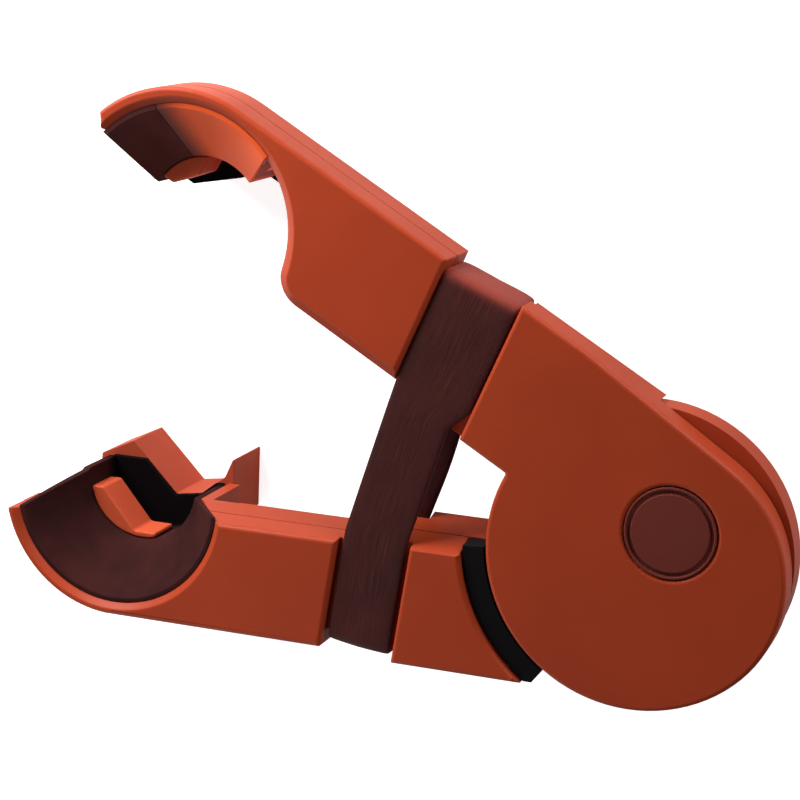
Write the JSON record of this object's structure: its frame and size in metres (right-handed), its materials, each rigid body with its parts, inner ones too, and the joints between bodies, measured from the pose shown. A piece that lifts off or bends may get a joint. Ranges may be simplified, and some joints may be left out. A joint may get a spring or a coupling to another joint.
{
  "type": "spring clamp",
  "caption": "Hand clamp with two hinged plastic arms, rubber-lined cupped jaws with notched grip blocks behind them, and a broad rubber band as its spring.",
  "frame": {"origin": "on the pivot axis, at the floor under the hub cap", "axes": "+Z along the pivot axis towards the front faces, -X along the lower arm to its jaw"},
  "size_m": [0.1222, 0.0844, 0.031],
  "materials": {
    "lower_plastic": "satin orange-red moulding",
    "upper_plastic": "satin orange-red moulding",
    "grip_plastic": "satin orange-red",
    "badge_plastic": "darker red-brown",
    "cup_rubber": "dull dark brown",
    "band_rubber": "dull purple-brown",
    "black_plastic": "matt black",
    "steel": "zinc plated",
    "bush_brass": "turned"
  },
  "bodies": {
    "lower_arm": {"lower_arm_front_shell": "lower_plastic", "lower_arm_rear_shell": "lower_plastic", "lower_cup_liner": "cup_rubber", "lower_front_grip_pad": "grip_plastic", "lower_rear_grip_block": "grip_plastic", "rubber_band": "band_rubber", "pivot_bush": "bush_brass", "thrust_washer": "black_plastic", "rear_washer": "steel", "hub_cap": "black_plastic", "gap_strip": "black_plastic", "lower_arm_screws": "steel"},
    "upper_arm": {"upper_arm_front_shell": "upper_plastic", "upper_arm_rear_shell": "upper_plastic", "upper_cup_liner": "cup_rubber", "upper_cup_facing": "upper_plastic", "upper_front_grip_pad": "grip_plastic", "upper_rear_grip_block": "grip_plastic", "pivot_pin": "steel", "retaining_ring": "steel", "blank_badge": "badge_plastic", "upper_arm_screws": "steel"}
  },
  "joints": [
    {"name": "arm_pivot", "type": "hinge", "parent": "lower_arm", "child": "upper_arm", "pos_m": [0, 0, 0], "axis": [0, 0, 1], "range_deg": [-8, 28], "deforming": ["rubber_band"]}
  ]
}
